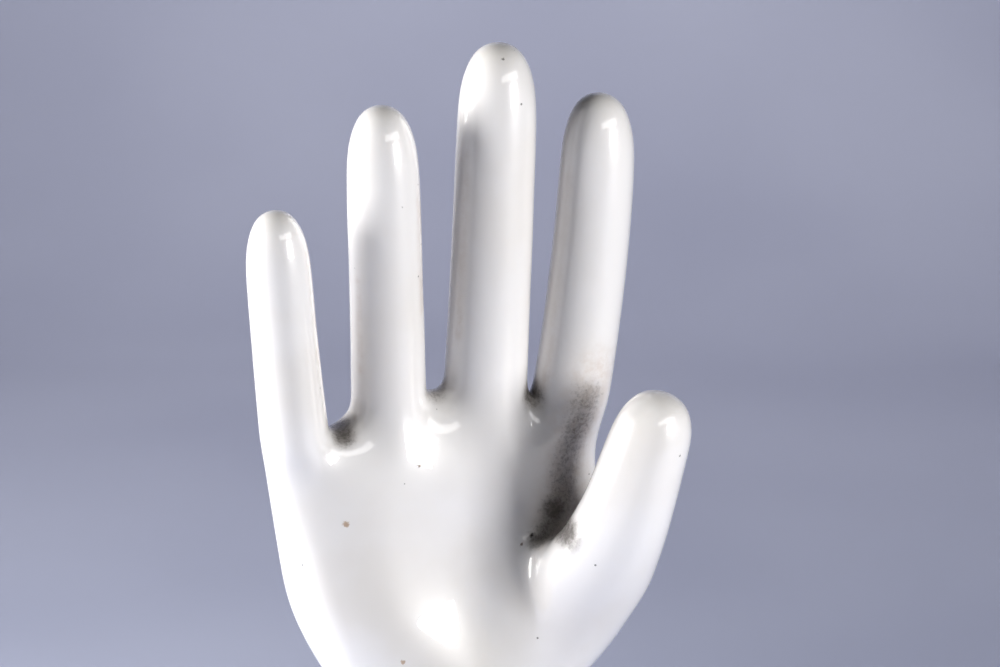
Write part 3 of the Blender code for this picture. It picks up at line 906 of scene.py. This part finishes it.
    def build(self, glaze: GlazedPorcelain, biscuit: BiscuitPorcelain) -> bpy.types.Object:
        """Make and dress the hand.

        Args:
            glaze: finish of the outside.
            biscuit: finish of the inside and of the foot.

        Returns:
            The finished hand.
        """
        hand = self.shape()
        self.soil_and_shade(hand)
        hand.data.materials[0] = replace(glaze, blemishes=self.seat(hand, glaze.blemishes)).make()
        hand.data.materials[1] = biscuit.make()
        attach(hand, "form")
        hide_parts("hand_form")
        log.info("porcelain hand: %d faces", len(hand.data.polygons))
        return hand


# ---- The expanding plug -----------------------------------------------------------------------------
def lathe(name: str, profile: Profile, segments: int = 96) -> bpy.types.Object:
    """Turn a closed profile of (radius, height) points round the upright axis.

    Args:
        name: the object's name.
        profile: points that run down the outer side and back up the bore.
        segments: sides of the turned piece.

    Returns:
        The turned object, shaded smooth with its sharp edges kept.
    """
    def fill(shape: bmesh.types.BMesh) -> None:
        """Draw the profile and spin it."""
        points = [shape.verts.new((radius, 0, height)) for radius, height in profile]
        edges = [shape.edges.new(pair) for pair in zip(points, points[1:] + points[:1])]
        bmesh.ops.spin(shape, geom=points + edges, cent=(0, 0, 0), axis=(0, 0, 1), angle=math.tau,
                       steps=segments, use_merge=True, use_duplicate=False)
        bmesh.ops.remove_doubles(shape, verts=shape.verts, dist=1e-6)
        bmesh.ops.recalc_face_normals(shape, faces=shape.faces)

    item = place(name, mesh_from(name, fill))
    return shade(item)


def shade(item: bpy.types.Object, angle: float = 32.0) -> bpy.types.Object:
    """Shade an object smooth, but not across edges sharper than an angle in degrees."""
    item.data.shade_smooth()
    item.data.set_sharp_from_angle(angle=math.radians(angle))
    return item


def bevel(item: bpy.types.Object, width: float, segments: int = 3, angle: float = 40.0) -> bpy.types.Object:
    """Round an object's sharp edges.

    Args:
        item: the object.
        width: of the rounding, in metres.
        segments: faces across it.
        angle: in degrees; edges sharper than this are rounded.

    Returns:
        The same object.
    """
    edge = item.modifiers.new("edges", "BEVEL")
    edge.width = width
    edge.segments = segments
    edge.limit_method = "ANGLE"
    edge.angle_limit = math.radians(angle)
    return shade(settle(item))


def bored(item: bpy.types.Object, centres: Sequence[tuple[float, float]], radius: float) -> bpy.types.Object:
    """Drill upright holes through an object.

    Args:
        item: the object.
        centres: x and y of each hole.
        radius: of the holes, in metres.

    Returns:
        The same object.
    """
    for x, y in centres:
        drill = place("drill", mesh_from("drill", lambda shape: bmesh.ops.create_cone(
            shape, cap_ends=True, segments=48, radius1=radius, radius2=radius, depth=0.4)))
        drill.location = (x, y, 0)
        hole = item.modifiers.new("hole", "BOOLEAN")
        hole.operation = "DIFFERENCE"
        hole.object = drill
        settle(item)
        bpy.data.objects.remove(drill)
    return item


def thread(name: str, low: float, high: float, radius: float, pitch: float, depth: float,
           end: float) -> bpy.types.Object:
    """Make a rod with a real screw thread along its whole length.

    Args:
        name: the object's name.
        low: height of the lower end.
        high: height of the upper end.
        radius: over the crests.
        pitch: rise of one turn.
        depth: crest to root.
        end: length over which each end is chamfered.

    Returns:
        The threaded rod, closed at both ends.
    """
    sides = 36
    rows = int((high - low) / pitch * 8)

    def fill(shape: bmesh.types.BMesh) -> None:
        """Lay rows of points whose radius follows the thread's rounded V, then cap them."""
        rings = []
        for row in range(rows + 1):
            height = mix(low, high, row / rows)
            near = min(height - low, high - height)
            limit = radius - depth * max(1 - near / end, 0)
            ring = []
            for side in range(sides):
                turn = (height / pitch - side / sides) % 1
                crest = radius - depth * smooth(abs(2 * turn - 1) * 1.25 - 0.12)
                size = min(crest, limit)
                angle = side * math.tau / sides
                ring.append(shape.verts.new((size * math.cos(angle), size * math.sin(angle), height)))
            rings.append(ring)
        for one, two in zip(rings, rings[1:]):
            for side in range(sides):
                after = (side + 1) % sides
                shape.faces.new((one[side], one[after], two[after], two[side]))
        shape.faces.new(rings[-1])
        shape.faces.new(rings[0][::-1])

    return shade(place(name, mesh_from(name, fill)), 50.0)


@dataclass
class ExpandingPlug:
    """The plug in the cuff: a rubber ring squeezed between two plates by a stud and a wing nut.

    Every piece takes its place and outer sizes from the CAD node that it stands for.
    """

    pitch: float = 0.0015  # M10 coarse thread
    thread_depth: float = 0.0009
    clearance: float = 0.0003
    pin_proud: float = 0.0003
    split: float = 7.0  # degrees from the middle of the spring washer's split to each end
    wing_voxel: float = 0.00042
    wing_fillet: int = 14

    def extent(self, node: str) -> tuple[float, float, float]:
        """Return the outer radius along X, the base and the top of a CAD node."""
        low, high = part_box(node)
        return (high[0] - low[0]) / 2, low[2], high[2]

    def fit(self, item: bpy.types.Object, node: str, body: str,
            material: bpy.types.Material) -> None:
        """Dress a piece and let it stand for its CAD node.

        Args:
            item: the piece.
            node: CAD node that it replaces.
            body: body that it moves with.
            material: finish.
        """
        item.data.materials.clear()
        item.data.materials.append(material)
        if body:
            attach(item, body)
        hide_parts(node)
        log.info("%s: %d faces", item.name, len(item.data.polygons))

    def pins(self) -> list[tuple[float, float]]:
        """Return the x and y of the two guide pins."""
        places = []
        for node in ("guide_pin_left", "guide_pin_right"):
            low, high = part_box(node)
            places.append(((low[0] + high[0]) / 2, (low[1] + high[1]) / 2))
        return places

    def lower_plate(self, metal: bpy.types.Material) -> None:
        """Turn the lower plate, with a ring recess underneath."""
        radius, base, top = self.extent("lower_plate")
        stud = self.extent("draw_stud")[0] + self.clearance * 1.5
        seat = self.extent("flat_washer")[0] + 0.0012
        dish = 0.0010
        profile = [(radius - 0.0008, top), (radius, top - 0.0008),
                   (radius, base + 0.0008), (radius - 0.0008, base),
                   (radius - 0.0050, base), (radius - 0.0058, base + dish), (seat + 0.0022, base + dish),
                   (seat, base), (stud + 0.0006, base), (stud, base + 0.0006), (stud, top - 0.0003),
                   (stud + 0.0003, top)]
        item = lathe("turned_lower_plate", profile, 128)
        bored(item, self.pins(), self.extent("guide_pin_left")[0] + 0.00005)
        self.fit(bevel(item, 0.00018, 2), "lower_plate", "plug", metal)

    def rubber_ring(self, rubber: bpy.types.Material) -> None:
        """Mould the rubber ring: rounded edges, two shallow sealing ribs and the mould's parting line."""
        radius, base, top = self.extent("rubber_bung")
        stud = self.extent("draw_stud")[0] + self.clearance * 1.5
        middle, tall = (base + top) / 2, top - base
        outer = []
        steps = 60
        for step in range(steps + 1):
            height = top - tall * step / steps
            near = min(height - base, top - height)
            rounding = 0.002
            inset = rounding - math.sqrt(max(rounding ** 2 - max(rounding - near, 0) ** 2, 0))
            groove = 0.0005 * smooth(1 - abs(abs(height - middle) - tall * 0.24) / 0.0011)
            line = 0.00022 * smooth(1 - abs(height - middle) / 0.0003)
            outer.append((radius - 0.00022 - inset - groove + line, height))
        profile = outer + [(stud + 0.0005, base), (stud, base + 0.0005),
                           (stud, top - 0.0005), (stud + 0.0005, top)]
        item = lathe("moulded_rubber_bung", profile, 128)
        bored(item, self.pins(), self.extent("guide_pin_left")[0] + self.clearance)
        self.fit(shade(item, 40), "rubber_bung", "", rubber)
        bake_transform(item)

    def pressure_plate(self, metal: bpy.types.Material) -> None:
        """Turn the pressure plate, faced on top with a raised seat for the spring washer."""
        radius, base, top = self.extent("pressure_plate")
        stud = self.extent("draw_stud")[0] + self.clearance * 1.5
        step = 0.0009
        profile = [(radius - 0.0040, top - step), (radius - 0.0008, top - step),
                   (radius, top - step - 0.0008),
                   (radius, base + 0.0008), (radius - 0.0008, base), (stud, base), (stud, top), (0.0125, top),
                   (0.0135, top - step)]
        item = lathe("turned_pressure_plate", profile, 128)
        bored(item, self.pins(), self.extent("guide_pin_left")[0] + self.clearance)
        self.fit(bevel(item, 0.00022, 2), "pressure_plate", "drawbar", metal)

    def guide_pins(self, metal: bpy.types.Material) -> None:
        """Make the two dowels, domed on top and pressed a little through the lower plate."""
        for node, (x, y) in zip(("guide_pin_left", "guide_pin_right"), self.pins()):
            radius, base, top = self.extent(node)
            base -= self.pin_proud
            dome = [(radius * math.sin(turn), top - radius * 0.35 * (1 - math.cos(turn)))
                    for turn in (math.radians(step) for step in range(6, 91, 6))]
            profile = [(0.0, top), *dome, (radius, base + 0.0005), (radius - 0.0005, base), (0.0, base)]
            pin = lathe(f"dowel_{node[10:]}", profile, 40)
            pin.location = (x, y, 0)
            self.fit(shade(pin, 40), node, "plug", metal)

    def stud(self, metal: bpy.types.Material) -> None:
        """Cut the stud's thread from end to end."""
        radius, base, top = self.extent("draw_stud")
        item = thread("threaded_stud", base, top, radius, self.pitch, self.thread_depth, 0.0012)
        self.fit(item, "draw_stud", "drawbar", metal)

    def nut(self, node: str, metal: bpy.types.Material) -> None:
        """Make a hexagon nut with its corners turned to a chamfer and a countersunk thread.

        Args:
            node: CAD node of the nut.
            metal: finish.
        """
        low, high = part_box(node)
        base, top = low[2], high[2]
        across = min(high[0] - low[0], high[1] - low[1])
        corner = across / 2 / math.cos(math.radians(30))
        bore = self.extent("draw_stud")[0] - self.thread_depth * 0.2
        hexagon = place(node + "_hexagon", mesh_from(node, lambda shape: bmesh.ops.create_cone(
            shape, cap_ends=True, segments=6, radius1=corner, radius2=corner, depth=0.05)))
        hexagon.location.z = (base + top) / 2
        flat, far = across / 2 * 0.96, corner * 1.1
        drop = (far - flat) * math.tan(math.radians(28))
        sink = 0.0006
        barrel = lathe(node + "_barrel", [
            (flat, top), (far, top - drop), (far, base + drop), (flat, base), (bore + sink, base),
            (bore, base + sink), (bore, top - sink), (bore + sink, top)])
        shaped = barrel.modifiers.new("hexagon", "BOOLEAN")
        shaped.operation = "INTERSECT"
        shaped.object = hexagon
        settle(barrel)
        bpy.data.objects.remove(hexagon)
        barrel.name = "chamfered_" + node
        self.fit(bevel(barrel, 0.00015, 2, 25), node, "drawbar", metal)

    def washer(self, metal: bpy.types.Material) -> None:
        """Press the flat washer: one edge rolled round, one left square."""
        radius, base, top = self.extent("flat_washer")
        stud = self.extent("draw_stud")[0] + self.clearance * 1.5
        rolled = [(radius - 0.0007 * (1 - math.sin(turn)), base + 0.0007 * (1 - math.cos(turn)))
                  for turn in (math.radians(step) for step in range(90, -1, -15))]
        profile = [(radius, top), *rolled, (stud, base), (stud, top)]
        washer = bevel(lathe("pressed_flat_washer", profile), 0.00012, 2)
        self.fit(washer, "flat_washer", "plug", metal)

    def spring_washer(self, metal: bpy.types.Material) -> None:
        """Coil the split washer: a square wire whose cut ends stand apart."""
        radius, base, top = self.extent("spring_washer")
        bore = self.extent("draw_stud")[0] + self.clearance * 1.5
        thick = (top - base) * 0.74
        steps = 72

        def fill(shape: bmesh.types.BMesh) -> None:
            """Sweep the wire's section round the coil and close its ends."""
            rings = []
            for step in range(steps + 1):
                share = step / steps
                angle = math.radians(mix(self.split, 360 - self.split, share))
                low = base + (top - base - thick) * share
                corners = ((bore, low), (radius, low), (radius, low + thick), (bore, low + thick))
                ring = [(r * math.cos(angle), r * math.sin(angle), z) for r, z in corners]
                rings.append([shape.verts.new(point) for point in ring])
            for one, two in zip(rings, rings[1:]):
                for side in range(4):
                    after = (side + 1) % 4
                    shape.faces.new((one[side], one[after], two[after], two[side]))
            shape.faces.new(rings[-1])
            shape.faces.new(rings[0][::-1])
            bmesh.ops.recalc_face_normals(shape, faces=shape.faces)

        item = place("split_spring_washer", mesh_from("spring_washer", fill))
        self.fit(bevel(item, 0.0002, 2), "spring_washer", "drawbar", metal)

    def wing_nut(self, brass: bpy.types.Material) -> None:
        """Cast the wing nut: hub and ears grown into one skin with soft fillets, then drilled."""
        low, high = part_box("wing_nut")
        span, base, top = (high[0] - low[0]) / 2, low[2], high[2]
        hub_radius = (high[1] - low[1]) / 2
        bore = self.extent("draw_stud")[0] - self.thread_depth * 0.2
        ear_radius, ear_half = 0.0076, 0.00165
        hub_base = base + 0.0056
        hub = lathe("cast_wing_nut", [
            (0.0, top), (hub_radius - 0.0003, top), (hub_radius, top - 0.0003), (hub_radius, top - 0.0030),
            (hub_radius * 0.84, hub_base + 0.0008), (hub_radius * 0.78, hub_base), (0.0, hub_base)])

        def ear(shape: bmesh.types.BMesh) -> None:
            """Draw one ear's outline, give it its thickness and draw its end thinner."""
            reach = span - ear_radius
            outline = [(0.0, top - 0.0020), (reach - 0.0010, base + 2 * ear_radius - 0.0002)]
            for step in range(17):
                turn = math.pi / 2 - math.pi * step / 16
                outline.append((reach + ear_radius * math.cos(turn),
                                base + ear_radius * (1 + math.sin(turn))))
            outline += [(reach - 0.0016, base + 0.0004), (0.0, hub_base + 0.0012)]
            sides = [[shape.verts.new((x, y * mix(1.35, 0.85, min(x / span, 1)), z)) for x, z in outline]
                     for y in (-ear_half, ear_half)]
            shape.faces.new(sides[0])
            shape.faces.new(sides[1][::-1])
            for step in range(len(outline)):
                after = (step + 1) % len(outline)
                shape.faces.new((sides[0][after], sides[0][step], sides[1][step], sides[1][after]))
            bmesh.ops.recalc_face_normals(shape, faces=shape.faces)

        for turn in (0, math.pi):
            wing = place("ear", mesh_from("ear", ear))
            wing.rotation_euler.z = turn
            join = hub.modifiers.new("ear", "BOOLEAN")
            join.operation = "UNION"
            join.object = wing
            settle(hub)
            bpy.data.objects.remove(wing)
        skin = hub.modifiers.new("cast_skin", "REMESH")
        skin.mode = "VOXEL"
        skin.voxel_size = self.wing_voxel
        soft = hub.modifiers.new("soft_fillets", "SMOOTH")
        soft.factor = 0.5
        soft.iterations = self.wing_fillet
        settle(hub)
        bored(hub, [(0.0, 0.0)], bore)
        self.fit(shade(hub, 50), "wing_nut", "wing_nut", brass)

    def build(self) -> None:
        """Make every piece of the plug and dress it."""
        aluminium = TurnedMetal("turned_aluminium", "#B9BBBD", "#8F918F", 0.33).make()
        steel = TurnedMetal("zinc_plated_steel", "#A9ACAE", "#857F74", 0.26, ring=0.3, tarnish_size=5.0)
        steel = steel.make()
        self.lower_plate(aluminium)
        self.rubber_ring(MouldedRubber().make())
        self.pressure_plate(steel)
        self.guide_pins(steel)
        self.stud(steel)
        self.nut("stud_nut", steel)
        self.nut("jam_nut", steel)
        self.washer(steel)
        self.spring_washer(steel)
        self.wing_nut(CastBrass().make())


# ---- The studio -------------------------------------------------------------------------------------
@dataclass(frozen=True)
class Softbox:
    """A large soft light at a bearing from the camera's own and an elevation, both in degrees."""

    name: str
    bearing: float
    elevation: float
    distance: float
    width: float
    height: float
    power: float
    colour: str = "#FFFFFF"


@dataclass
class Studio:
    """A pale floor that sweeps up into the background, soft lights and the camera, in metres."""

    azimuth: float = -20.0
    elevation: float = 15.0
    aim: Point = (0.0144, 0.0, 0.2615)
    distance: float = 0.712
    focal_length: float = 100.0
    sensor: float = 36.0
    floor_colour: str = "#C4C9DC"
    world_colour: str = "#AEB3C0"
    backdrop_power: float = 8.6
    backdrop_width: float = 1.2
    backdrop_depth: float = 0.4
    backdrop_height: float = 1.15
    backdrop_behind: float = 0.35
    backdrop_colour: str = "#FFF9F4"
    world_strength: float = 0.02
    softboxes: tuple[Softbox, ...] = (
        Softbox("key_softbox", -84, 8, 0.75, 0.42, 0.40, 8.6, "#FFFEFC"),
        Softbox("fill_softbox", 52, 7, 0.75, 0.26, 0.24, 3.3, "#FFFEFC"),
        Softbox("high_softbox", 44, 25, 0.80, 0.80, 0.13, 0.9, "#FFFEFC"),
    )

    def bearing(self, azimuth: float, elevation: float) -> Vector:
        """Return the unit vector from the hand towards an azimuth and elevation in degrees."""
        turn, rise = math.radians(azimuth), math.radians(elevation)
        return Vector((math.sin(turn) * math.cos(rise), -math.cos(turn) * math.cos(rise), math.sin(rise)))

    def camera(self) -> None:
        """Set up the camera."""
        data = bpy.data.cameras.new("camera")
        data.lens = self.focal_length
        data.sensor_width = self.sensor
        camera = bpy.data.objects.new("camera", data)
        bpy.context.scene.collection.objects.link(camera)
        back = self.bearing(self.azimuth, self.elevation)
        camera.location = Vector(self.aim) + back * self.distance
        camera.rotation_euler = back.to_track_quat("Z", "Y").to_euler()
        bpy.context.scene.camera = camera

    def lights(self) -> None:
        """Hang the softboxes, each facing the middle of the hand."""
        for box in self.softboxes:
            data = bpy.data.lights.new(box.name, "AREA")
            data.shape = "RECTANGLE"
            data.size, data.size_y = box.width, box.height
            data.energy = box.power
            data.color = linear(box.colour)[:3]
            light = bpy.data.objects.new(box.name, data)
            bpy.context.scene.collection.objects.link(light)
            out = self.bearing(self.azimuth + box.bearing, box.elevation)
            light.location = Vector(self.aim) + out * box.distance
            light.rotation_euler = out.to_track_quat("Z", "Y").to_euler()

    def backdrop_light(self) -> None:
        """Hang a broad light above and behind the hand that faces the sweep."""
        data = bpy.data.lights.new("backdrop_softbox", "AREA")
        data.shape = "RECTANGLE"
        data.size, data.size_y = self.backdrop_width, self.backdrop_depth
        data.energy = self.backdrop_power
        data.color = linear(self.backdrop_colour)[:3]
        light = bpy.data.objects.new("backdrop_softbox", data)
        bpy.context.scene.collection.objects.link(light)
        behind = self.bearing(self.azimuth + 180.0, 0.0)
        light.location = behind * self.backdrop_behind + Vector((0.0, 0.0, self.backdrop_height))
        light.rotation_euler = (Vector((0.0, 0.0, 0.1)) - behind * 0.8).to_track_quat("Z", "Y").to_euler()

    def backdrop(self) -> None:
        """Lay the floor and sweep it up behind the hand."""
        def fill(shape: bmesh.types.BMesh) -> None:
            """Pull the sweep's profile out sideways."""
            reach, radius, wall, wide = 1.6, 0.55, 2.6, 3.2
            profile = [(-reach, 0.0), (0.9, 0.0)]
            profile += [(0.9 + radius * math.sin(turn), radius * (1 - math.cos(turn)))
                        for turn in (math.radians(step) for step in range(6, 91, 6))]
            profile.append((0.9 + radius, wall))
            rows = [[shape.verts.new((x, y, z)) for y, z in profile] for x in (-wide, wide)]
            for step in range(len(profile) - 1):
                shape.faces.new((rows[1][step], rows[0][step], rows[0][step + 1], rows[1][step + 1])[::-1])

        sweep = place("studio_sweep", mesh_from("studio_sweep", fill))
        sweep.data.shade_smooth()
        sweep.rotation_euler.z = math.radians(self.azimuth)
        paper = Surface("studio_paper")
        spot = paper.where()
        grain = paper.noise(spot, 400.0, 2.0)
        colour = paper.tint(linear(self.floor_colour), linear("#BBC0D4"), paper.band(grain, 0.35, 0.65))
        paper.shade(Base_Color=colour, Roughness=0.9, Specular_IOR_Level=0.2)
        sweep.data.materials.append(paper.material)

    def world(self) -> None:
        """Fill the shadows with an even, faintly blue light."""
        world = bpy.data.worlds.new("studio_air")
        world.use_nodes = True
        background = world.node_tree.nodes["Background"]
        background.inputs["Color"].default_value = linear(self.world_colour)
        background.inputs["Strength"].default_value = self.world_strength
        bpy.context.scene.world = world

    def build(self) -> None:
        """Set up the whole studio."""
        self.camera()
        self.lights()
        self.backdrop_light()
        self.backdrop()
        self.world()
        view = bpy.context.scene.view_settings
        view.view_transform = "Standard"
        view.look = "High Contrast"
        view.exposure = -0.1
        log.info("studio: %d softboxes", len(self.softboxes))


def main() -> None:
    """Build the studio, the porcelain hand and the plug."""
    Studio().build()
    HandCasting().build(GlazedPorcelain(blemishes=BLEMISHES), BiscuitPorcelain())
    ExpandingPlug().build()


if __name__ == "__main__":
    main()
